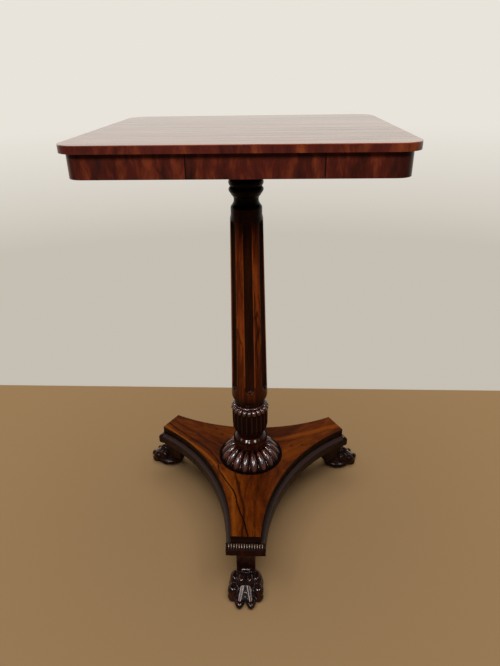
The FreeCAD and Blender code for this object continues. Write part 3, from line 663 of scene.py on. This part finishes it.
shaft = {
    "columns": 240, "tenon": 13, "tenonFoot": 70.8, "tenonHead": 724.7, "tenonTip": 0.8,
    "tenonTipShare": 0.94, "foot": 240, "shoulder": 258, "neckStep": 598, "neckClear": 1.5, "head": 614,
    "waist": 27.1, "footRadius": 33.9, "headRadius": 27,
    "shoulderShares": [(0.0, 0.0), (0.10, 0.18), (0.42, 0.42), (0.80, 0.72), (0.97, 0.92), (1.0, 1.0)],
    "neckRun": [(26.9, 597.2), (26.5, 599.4), (25.9, 601.6), (25.6, 604), (25.6, 609), (25.5, 614)],
    "fluteCount": 6, "fluteTurn": 4, "fluteHalfAngle": 16.5, "fluteFoot": 275.2, "fluteHead": 595.8,
    "fluteDepth": (6.6, 5.3), "fluteShade": 0.86, "fluteDark": 2.6, "arrisHalf": 0.7, "arrisClear": 12,
    "ringsFromFoot": ((-6, 4, 2), (0, 0.9, 14), (14, 9.5, 31)), "ringsFromHead": (-11, 0.85, 14),
    "endDarkening": [(240, 0.88), (256, 0.8), (268, 0.72), (300, 0.65), (350, 0.6), (400, 0.54), (440, 0.5),
               (560, 0.5), (580, 0.6), (600, 0.76)],
}


def shaftRadius(height):
    share = (height - shaft["shoulder"]) / (shaft["neckStep"] - shaft["shoulder"])
    return shaft["footRadius"] + (shaft["headRadius"] - shaft["footRadius"]) * share


def fromFlute(angle):
    # The angle to the middle of the nearest flute.
    step = 360 / shaft["fluteCount"]
    return (angle + 90 - shaft["fluteTurn"] + step / 2) % step - step / 2


def fluteDepth(angle, radius, height):
    # How deep a flute lies under the turned surface; it is hollow across and has round ends.
    foot, head = shaft["fluteFoot"], shaft["fluteHead"]
    if not foot < height < head:
        return 0
    half = shaftRadius(height) * math.sin(math.radians(shaft["fluteHalfAngle"]))
    across = shaftRadius(height) * math.sin(math.radians(fromFlute(angle)))
    beyond = max(foot + half - height, height - head + half, 0)
    share = (height - foot) / (head - foot)
    depth = shaft["fluteDepth"][0] + (shaft["fluteDepth"][1] - shaft["fluteDepth"][0]) * share
    curve = (half ** 2 + depth ** 2) / (2 * depth)
    away = math.hypot(across, beyond)
    return math.sqrt(curve ** 2 - away ** 2) - curve + depth if away < half else 0


# Painted shade in the flutes, a painted highlight on their arrises, and darker towards the foot and the
# head of the shaft.
def fluteShade(angle, radius, height):
    fromArris = abs(abs(fromFlute(angle)) - shaft["fluteHalfAngle"])
    clear = shaft["arrisClear"]
    if shaft["fluteFoot"] + clear < height < shaft["fluteHead"] - clear and fromArris < shaft["arrisHalf"]:
        return shades["rubbedAndLit"]
    dark = min(1, fluteDepth(angle, radius, height) / shaft["fluteDark"]) * shaft["fluteShade"]
    return max(between(shaft["endDarkening"], height), 0.5 + 0.5 * dark)


def makeShaft():
    waist, swell = shaft["waist"], shaft["footRadius"] - shaft["waist"]
    rise = shaft["shoulder"] - shaft["foot"]
    tenon, tip = shaft["tenon"], shaft["tenonTip"]
    heights = [shaft["fluteFoot"] + first + i * gap
               for first, gap, count in shaft["ringsFromFoot"] for i in range(count)]
    first, gap, count = shaft["ringsFromHead"]
    heights += [shaft["fluteHead"] + first + i * gap for i in range(count)]
    rings = [(tenon * shaft["tenonTipShare"], shaft["tenonFoot"]), (tenon, shaft["tenonFoot"] + tip),
             (tenon, shaft["foot"])]
    shoulder = [(waist + r * swell, shaft["foot"] + h * rise) for r, h in shaft["shoulderShares"]]
    rings += smoothRun(shoulder, 3)
    rings += [(shaftRadius(h), h) for h in heights if h < shaft["neckStep"] - shaft["neckClear"]]
    rings += smoothRun(shaft["neckRun"], 3) + [(tenon, shaft["head"]), (tenon, shaft["tenonHead"])]
    piece = turnOnPillar(rings, shaft["columns"])
    sink(piece, fluteDepth, shaft["fluteDepth"][0])
    markShades(piece, fluteShade)
    finishPiece(piece, "flutedShaft", turnedWood, ["pillar_shaft"], smooth=32)


makeShaft()


# Turned capital under the pillar block

capital = {
    "columns": 96, "bore": 13.2, "start": 614, "end": 701, "hollows": (8, 1.5),
    "runs": [
        (4, [(25.5, 614), (25.3, 615.4), (24.0, 617.6), (22.0, 620.2), (20.6, 623.4), (20.0, 626.5),
             (20.4, 630.0), (21.8, 632.4), (23.6, 634.6), (25.2, 637.3)]),
        (4, [(25.2, 637.3), (27.1, 640.0), (28.0, 642.7), (27.2, 645.4), (25.0, 647.8)]),
        (4, [(25.0, 647.8), (27.0, 650.6), (28.0, 654.0), (27.2, 657.4), (25.2, 660.3)]),
        (4, [(25.2, 660.3), (23.6, 666.2), (24.1, 676.6), (26.9, 687.1), (29.9, 692.3)]),
        (4, [(29.9, 692.3), (29.9, 701)])],
}


def makeTurning(look, name, material, node):
    piece = turnOnPillar(turningOutline(look), look["columns"])
    markRecesses(piece, *look["hollows"])
    finishPiece(piece, name, material, [node], smooth=35)


makeTurning(capital, "turnedCapital", capitalWood, "capital")


# Carved vase: channels below, a round lobe over each channel, a smooth ring on top

vase = {
    "columns": 264, "bore": 13.2, "start": 165, "end": 240, "inside": 20,
    "runs": [
        (3, [(26.0, 165), (26.2, 168), (27.0, 171.5), (28.6, 174.6)]),
        (2, [(28.6, 174.6), (29.9, 176.2), (30.2, 178)]),
        (4, [(30.2, 178), (32.6, 181.5), (34.1, 186), (34.4, 192), (34.5, 200), (34.6, 210), (34.6, 218),
             (34.4, 223), (33.6, 226.4)]),
        (1, [(32.2, 226.4), (30.8, 228), (29.0, 232), (27.6, 236), (27.2, 238.4)])],  # behind the lobes
    "channels": 22, "channelFoot": 178, "channelHead": 226.4, "channelDepth": 2.4, "channelShare": 0.86,
    "channelEnd": 4, "ribHalf": 0.7, "ribClear": 4, "bodyShade": 0.55, "channelShade": 0.3,
    "lobe": {"place": (31.4, 0, 230.4), "halves": (3.4, 4.2, 6.8), "slope": -41}, "lobeRise": 1.3,
    "lobeHead": 238.4, "ringColumns": 96,
    "ring": [(27.2, 236.6), (29.2, 236.8), (30.2, 237.5), (30.5, 238.5), (30.0, 239.4), (28.8, 239.9),
             (27.2, 239.9), (27.2, 236.6)],
}


def fromRib(angle):
    # The angle to the middle of the nearest rib between two channels.
    step = 360 / vase["channels"]
    return abs((angle + 90) % step - step / 2)


def vaseDepth(angle, radius, height):
    foot, head = vase["channelFoot"], vase["channelHead"]
    if radius < vase["inside"] or not foot < height < head:
        return 0
    share = 1 - fromRib(angle) / (180 / vase["channels"])  # 0 in the middle of a channel
    ends = min(height - foot, head - height) / vase["channelEnd"]
    across = min(1, share / vase["channelShare"])
    return vase["channelDepth"] * (1 - across ** 2) * min(1, ends) ** 0.5


# Painted shade on the lobes' flanks and in the channels, the rest of the body a little darker, and a
# painted highlight on the ribs between channels.
def vaseShade(angle, radius, height):
    foot, head, clear = vase["channelFoot"], vase["channelHead"], vase["ribClear"]
    if head <= height < vase["lobeHead"] and radius > vase["inside"]:
        core = [(z, r) for r, z in vase["runs"][-1][1]]
        return shadeAbove(radius - between(core, height), vase["lobeRise"])
    if fromRib(angle) < vase["ribHalf"] and foot + clear < height < head - clear:
        return shades["rubbedAndLit"]
    share = vaseDepth(angle, radius, height) / vase["channelDepth"]
    return vase["bodyShade"] + vase["channelShade"] * share


def makeVase():
    body = turnOnPillar(turningOutline(vase), vase["columns"])
    sink(body, vaseDepth, vase["channelDepth"])
    step = 360 / vase["channels"]
    lobes = turnedCopies(addEgg(**vase["lobe"]), [-90 + i * step for i in range(vase["channels"])])
    crown = joined([turnOnPillar(vase["ring"], vase["ringColumns"])] + lobes)
    for piece in (body, crown):
        markShades(piece, vaseShade)
    finishPiece(body, "reededVase", duskyCarving, ["reeded_vase"], smooth=40)
    finishPiece(crown, "vaseLobes", polishedCarving, [], smooth=40)


makeVase()


# Collar under the vase: a flare, a fillet, a sharp ledge and a long bulge

collar = {
    "columns": 128, "bore": 13.2, "start": 165, "end": 137, "hollows": (4, 1.5),
    "runs": [
        (4, [(26.0, 165), (26.4, 163.8), (28.0, 162.0), (29.8, 160.0), (31.0, 158.5)]),
        (4, [(31.0, 158.5), (32.5, 158.5), (32.6, 158.3), (32.6, 156.4), (31.5, 155.5)]),
        (4, [(31.5, 155.5), (33.2, 155.4)]),
        (4, [(33.2, 155.4), (33.6, 152.0), (33.6, 147.0), (33.0, 142.0), (32.0, 139.2), (30.8, 137)])],
}

makeTurning(collar, "polishedCollar", collarWood, "pillar_collar")


# Gadrooned boss: tapered lobes with a dart between each two, on a dark ground

bossGround = [(30.8, 131), (38, 127), (46, 120.6), (52, 115.6), (57, 112), (60, 111.2), (63.6, 111.2)]
boss = {
    "columns": 144, "bore": 13.2, "start": 137, "end": 109.5,
    "runs": [
        (1, [(30.8, 137), (30.8, 131)]),
        (6, bossGround),
        (1, [(63.6, 111.2), (63.7, 110.9), (64, 110.4), (64, 109.5)])],
    "lobes": 18, "lobeRise": 2.2, "cutOff": 109.9,
    "lobe": {"place": (43.9, 0, 122.6), "halves": (20.4, 6.7, 7.2), "slope": 44, "segments": 36,
             "taper": 0.24},
    "dart": {"place": (51, 0, 116.6), "halves": (9.0, 0.9, 2.8), "slope": 40, "segments": 12},
}


def bossShade(angle, radius, height):
    return shadeAbove(height - between(bossGround, radius), boss["lobeRise"])


def makeBoss():
    body = turnOnPillar(turningOutline(boss), boss["columns"])
    step = 360 / boss["lobes"]
    lobe = cutBelow(addEgg(**boss["lobe"]), boss["cutOff"])
    lobes = turnedCopies(lobe, [-90 + (i + 0.5) * step for i in range(boss["lobes"])])
    darts = turnedCopies(addEgg(**boss["dart"]), [-90 + i * step for i in range(boss["lobes"])])
    gadroons = joined(lobes + darts)
    markShades(gadroons, bossShade)
    finishPiece(body, "bossGround", hollowWood, [], smooth=45)
    finishPiece(gadroons, "gadroonedBoss", polishedCarving, ["gadroon_boss"], smooth=45)


makeBoss()


# Lion's paws, made pointing outwards along X and then set under each arm

paw = {
    "voxel": 0.9, "smoothings": 3, "smoothing": 0.5, "hollows": (12, 0.9),
    "ankle": {"near": 180, "far": 218.6, "width": 33, "foot": 24, "head": 70.5},
    "bulk": [((224, 0, 8), (34, 30.5, 12), 0), ((223, 0, 16.5), (24, 24, 15.5), 0),
             ((234, 0, 8), (20, 24, 13), 0)],
    "cuff": {"place": (217.2, 0, 33.7), "round": 4.6, "width": 17.5, "sides": 32},
    "toes": [((232.5, 6.9, 26.2), (12, 8, 11.4), 30), ((244.6, 7.6, 11.6), (13, 8.6, 8), 47),
             ((255.2, 9.8, 4.4), (15, 8.8, 7.8), 0), ((224.5, 18.6, 21), (13, 9.4, 11.4), 28),
             ((241.2, 21.6, 12.6), (12.5, 9.6, 11), 45), ((246, 22.4, 4.8), (10.5, 8.6, 7.2), 0)],
    "clefts": {"half": 3.4, "from": 238},
}
claw = {
    "ends": [((241, 4.2, 24.5), (262.5, 10.0, 6.5), (4.8, 3.6)),
             ((243.5, 22.8, 14.4), (254, 25, 5), (5.2, 3.2))],
    "sides": 6, "arris": 0.62, "foot": 0.2,
    "inner": 15, "upward": 0.3, "narrow": 45, "flatSheen": 0.42,
}


def makePaw():
    cuff, cleft = paw["cuff"], paw["clefts"]
    block = addBlock(**paw["ankle"])
    bpy.ops.mesh.primitive_cylinder_add(
        vertices=cuff["sides"], radius=cuff["round"] * mm, depth=cuff["width"] * mm,
        location=[c * mm for c in cuff["place"]], rotation=(math.radians(90), 0, 0))
    parts = [block, bpy.context.object] + [addEgg(*egg) for egg in paw["bulk"]]
    for side in (-1, 1):
        parts += [addEgg((x, side * y, z), halves, slope) for (x, y, z), halves, slope in paw["toes"]]
    flesh = joined(parts)
    applyModifier(flesh, "REMESH", {"mode": "VOXEL", "voxel_size": paw["voxel"] * mm})
    applyModifier(flesh, "SMOOTH", {"factor": paw["smoothing"], "iterations": paw["smoothings"]})
    markRecesses(cutBelow(flesh, 0), *paw["hollows"])
    field = flesh.data.attributes["recess"]
    for vertex, shade in zip(flesh.data.vertices, field.data):  # painted shade between the two middle toes
        if abs(vertex.co.y) < cleft["half"] * mm and vertex.co.x > cleft["from"] * mm:
            shade.value = shades["hollow"]
    return flesh


def addClaw(start, end, radii):
    # A tapered claw, whittled in flats that catch the light as lines along it.
    start, end = Vector(start) * mm, Vector(end) * mm
    bpy.ops.mesh.primitive_cone_add(
        vertices=claw["sides"], radius1=radii[0] * mm, radius2=radii[1] * mm, depth=(end - start).length,
        rotation=(0, 0, math.radians(180 / claw["sides"])))
    piece = bpy.context.object
    settle(piece)
    for edge in piece.data.edges:
        low, high = [piece.data.vertices[i].co.z for i in edge.vertices]
        edge.select = abs(high - low) > samePlace
    bpy.ops.object.mode_set(mode="EDIT")
    bpy.ops.mesh.bevel(offset=claw["arris"] * mm, segments=1, affect="EDGES")
    bpy.ops.object.mode_set(mode="OBJECT")
    piece.rotation_euler = (end - start).to_track_quat("Z", "Y").to_euler()
    piece.location = (start + end) / 2
    settle(piece)
    return cutBelow(piece, claw["foot"])


def makeClaws():
    claws = joined([addClaw((a[0], side * a[1], a[2]), (b[0], side * b[1], b[2]), radii)
                    for side in (-1, 1) for a, b, radii in claw["ends"]])
    field = claws.data.attributes.new("recess", "FLOAT", "CORNER")
    for face in claws.data.polygons:
        shade = shades["clean"]
        if abs(face.center.y) < claw["inner"] * mm and face.normal.z > claw["upward"]:
            # The upper side of the two middle claws: painted highlight lines on its narrow faces, and a
            # fainter painted sheen on its flats.
            narrow = len(face.vertices) == 4 and face.area < claw["narrow"] * mm * mm
            shade = shades["rubbedAndLit"] if narrow else claw["flatSheen"]
        for corner in face.loop_indices:
            field.data[corner].value = shade
    return claws


def setPaws():
    for name, copy in onEachArm(makePaw()):
        wood = carvedWood if name == "front" else dulledCarving
        finishPiece(copy, "lionPaw_" + name, wood, ["lion_paw_" + name], smooth=38)
    for name, copy in onEachArm(makeClaws()):
        finishPiece(copy, "lionClaws_" + name, clawWood, [], smooth=15)


setPaws()


# Beaded mouldings across the ends of the arms

endMoulding = {
    "near": 211, "far": 220.7, "foot": 70.5, "head": 92, "halfNear": 24.64, "halfFar": 34.09,
    "cutBack": 8.4, "arris": 1.6, "darkFacing": (0.3, 0.9),
    "beads": 14, "pitch": 4.4, "bead": (3.2, 1.5, 5.5),
    "beadPlace": (216.4, 87.6), "beadLean": -45, "beadSegments": 20,
}


def makeEndMoulding():
    look = endMoulding
    bar = addBlock(look["near"], look["far"], 2 * look["halfNear"], look["foot"], look["head"])
    outer = look["far"] * mm
    for vertex in bar.data.vertices:
        vertex.select = abs(vertex.co.x - outer) < samePlace
    bpy.ops.object.mode_set(mode="EDIT")
    bpy.ops.transform.resize(value=(1, look["halfFar"] / look["halfNear"], 1))
    for height, size in ((look["head"], look["cutBack"]), (look["foot"], look["arris"])):
        bpy.ops.mesh.select_all(action="DESELECT")
        bpy.ops.object.mode_set(mode="OBJECT")
        for edge in bar.data.edges:
            ends = [bar.data.vertices[i].co for i in edge.vertices]
            edge.select = all(
                abs(c.x - outer) < samePlace and abs(c.z - height * mm) < samePlace for c in ends)
        bpy.ops.object.mode_set(mode="EDIT")
        bpy.ops.mesh.bevel(offset=size * mm, segments=1, affect="EDGES")
    bpy.ops.object.mode_set(mode="OBJECT")
    field = bar.data.attributes.new("recess", "FLOAT", "CORNER")
    lowest, highest = look["darkFacing"]
    for face in bar.data.polygons:  # painted shade on the slope behind the beads, clean elsewhere
        for corner in face.loop_indices:
            dark = lowest < face.normal.z < highest
            field.data[corner].value = shades["hollow"] if dark else shades["clean"]
    return bar


def makeBeads():
    look, beads = endMoulding, []
    x, z = look["beadPlace"]
    for i in range(look["beads"]):
        y = (i - (look["beads"] - 1) / 2) * look["pitch"]
        beads.append(addEgg((x, y, z), look["bead"], look["beadLean"], look["beadSegments"]))
    return joined(beads)


def setEndMouldings():
    for name, copy in onEachArm(makeEndMoulding()):
        replaced = ["beaded_moulding_" + name]
        finishPiece(copy, "beadedEnd_" + name, duskyCarving, replaced, smooth=35)
    for name, copy in onEachArm(makeBeads()):
        finishPiece(copy, "endBeads_" + name, beadedWood, [], smooth=60)


setEndMouldings()


# Floor, lamps and surroundings

studio = {
    "floor": "#977955", "floorBox": ((-4, -5), (4, 0.445)), "aim": 0.35,
    "roomStops": (0.36, 0.455, 0.64, 0.78),  # from straight down, 0, to straight up, 1
    "roomColours": ("#c6bfb3", "#e9e4db", "#e9e4db", "#3a3632"),
    "ambient": 0.36, "frontShare": 0.22, "frontTurn": (-0.1, 0.45),
    "ceiling": {"height": 2.6, "power": 120, "size": 4},
    # Three lamps before the table, a weak one at each side and a broad one high behind it: the angles
    # round and up from the aim, distance, power and size of each.
    "lamps": [(-31, 40, 2.4, 24, 0.36), (-8, 38, 2.4, 15, 0.32), (42, 40, 2.4, 17, 0.36),
              (-75, 32, 2.6, 6, 0.5), (75, 34, 2.6, 1.5, 0.5), (180, 68, 2.6, 10, 1.2)],
}


def makeFloor():
    (left, front), (right, back) = studio["floorBox"]
    bpy.ops.mesh.primitive_plane_add(size=1, location=((left + right) / 2, (front + back) / 2, 0))
    floor = bpy.context.object
    floor.name = "paleFloor"
    floor.scale = (right - left, back - front, 1)
    settle(floor)
    material, tree = newMaterial("paleFloorPaint")
    shader = addNode(tree, "BsdfDiffuse", {"Color": linear(studio["floor"])})
    addNode(tree, "OutputMaterial", links={"Surface": shader})
    floor.data.materials.append(material)
    return floor


def addLamp(place, power, size, reached):
    bpy.ops.object.light_add(type="AREA", location=place)
    lamp = bpy.context.object
    lamp.data.shape, lamp.data.size, lamp.data.energy = "DISK", size, power
    lamp.light_linking.receiver_collection = reached
    return lamp


def lightStudio(floor):
    reach = {}
    for state in ("INCLUDE", "EXCLUDE"):  # the ceiling light is for the floor, the lamps are for the table
        reach[state] = bpy.data.collections.new("floor" + state.title())
        reach[state].objects.link(floor)
        reach[state].collection_objects[0].light_linking.link_state = state
    aim = Vector((0, axisY, studio["aim"]))
    for around, up, distance, power, size in studio["lamps"]:
        turn, rise = math.radians(around), math.radians(up)
        away = Vector((math.sin(turn) * math.cos(rise), -math.cos(turn) * math.cos(rise), math.sin(rise)))
        lamp = addLamp(aim + away * distance, power, size, reach["EXCLUDE"])
        lamp.rotation_euler = away.to_track_quat("Z", "Y").to_euler()
    ceiling = studio["ceiling"]
    addLamp((0, axisY, ceiling["height"]), ceiling["power"], ceiling["size"], reach["INCLUDE"])


def seenDirectly(tree):
    # 1 for what the camera sees, also by way of a polished surface, and 0 for light on the object.
    path = addNode(tree, "LightPath")
    plain = addNode(tree, "Math", {"operation": "MAXIMUM"},
                    {0: path.outputs["Is Camera Ray"], 1: path.outputs["Is Glossy Ray"]})
    return addNode(tree, "Math", {"operation": "MAXIMUM"},
                   {0: plain, 1: path.outputs["Is Transmission Ray"]})


def makeRoom():
    # Pale walls, palest above eye level, under a dim ceiling; dimmer before the table than behind it.
    world = bpy.data.worlds.new("paleRoom")
    bpy.context.scene.world = world
    world.use_nodes = True
    tree = world.node_tree
    tree.nodes.clear()
    way = addNode(tree, "TexCoord")
    apart = addNode(tree, "SeparateXYZ", links={"Vector": way.outputs["Generated"]})
    upward = addNode(tree, "MapRange", {"From Min": -1.0}, {"Value": apart.outputs["Z"]})
    room = addNode(tree, "ValToRGB", links={"Fac": upward})
    fillRamp(room, studio["roomStops"], studio["roomColours"])
    share = addNode(tree, "MapRange", {
        "From Min": studio["frontTurn"][0], "From Max": studio["frontTurn"][1],
        "To Min": studio["frontShare"]}, {"Value": apart.outputs["Y"]})
    tone = addNode(tree, "VectorMath", {"operation": "SCALE"}, {0: room, "Scale": share})
    light = addNode(tree, "Background", {"Strength": studio["ambient"]}, {"Color": tone})
    wall = addNode(tree, "Background", {"Strength": 1.0}, {"Color": tone})
    both = addNode(tree, "MixShader", links={
        0: seenDirectly(tree), 1: light, 2: wall})
    addNode(tree, "OutputWorld", links={"Surface": both})


lightStudio(makeFloor())
makeRoom()
bpy.context.scene.view_settings.view_transform = "Standard"
print("studio made")
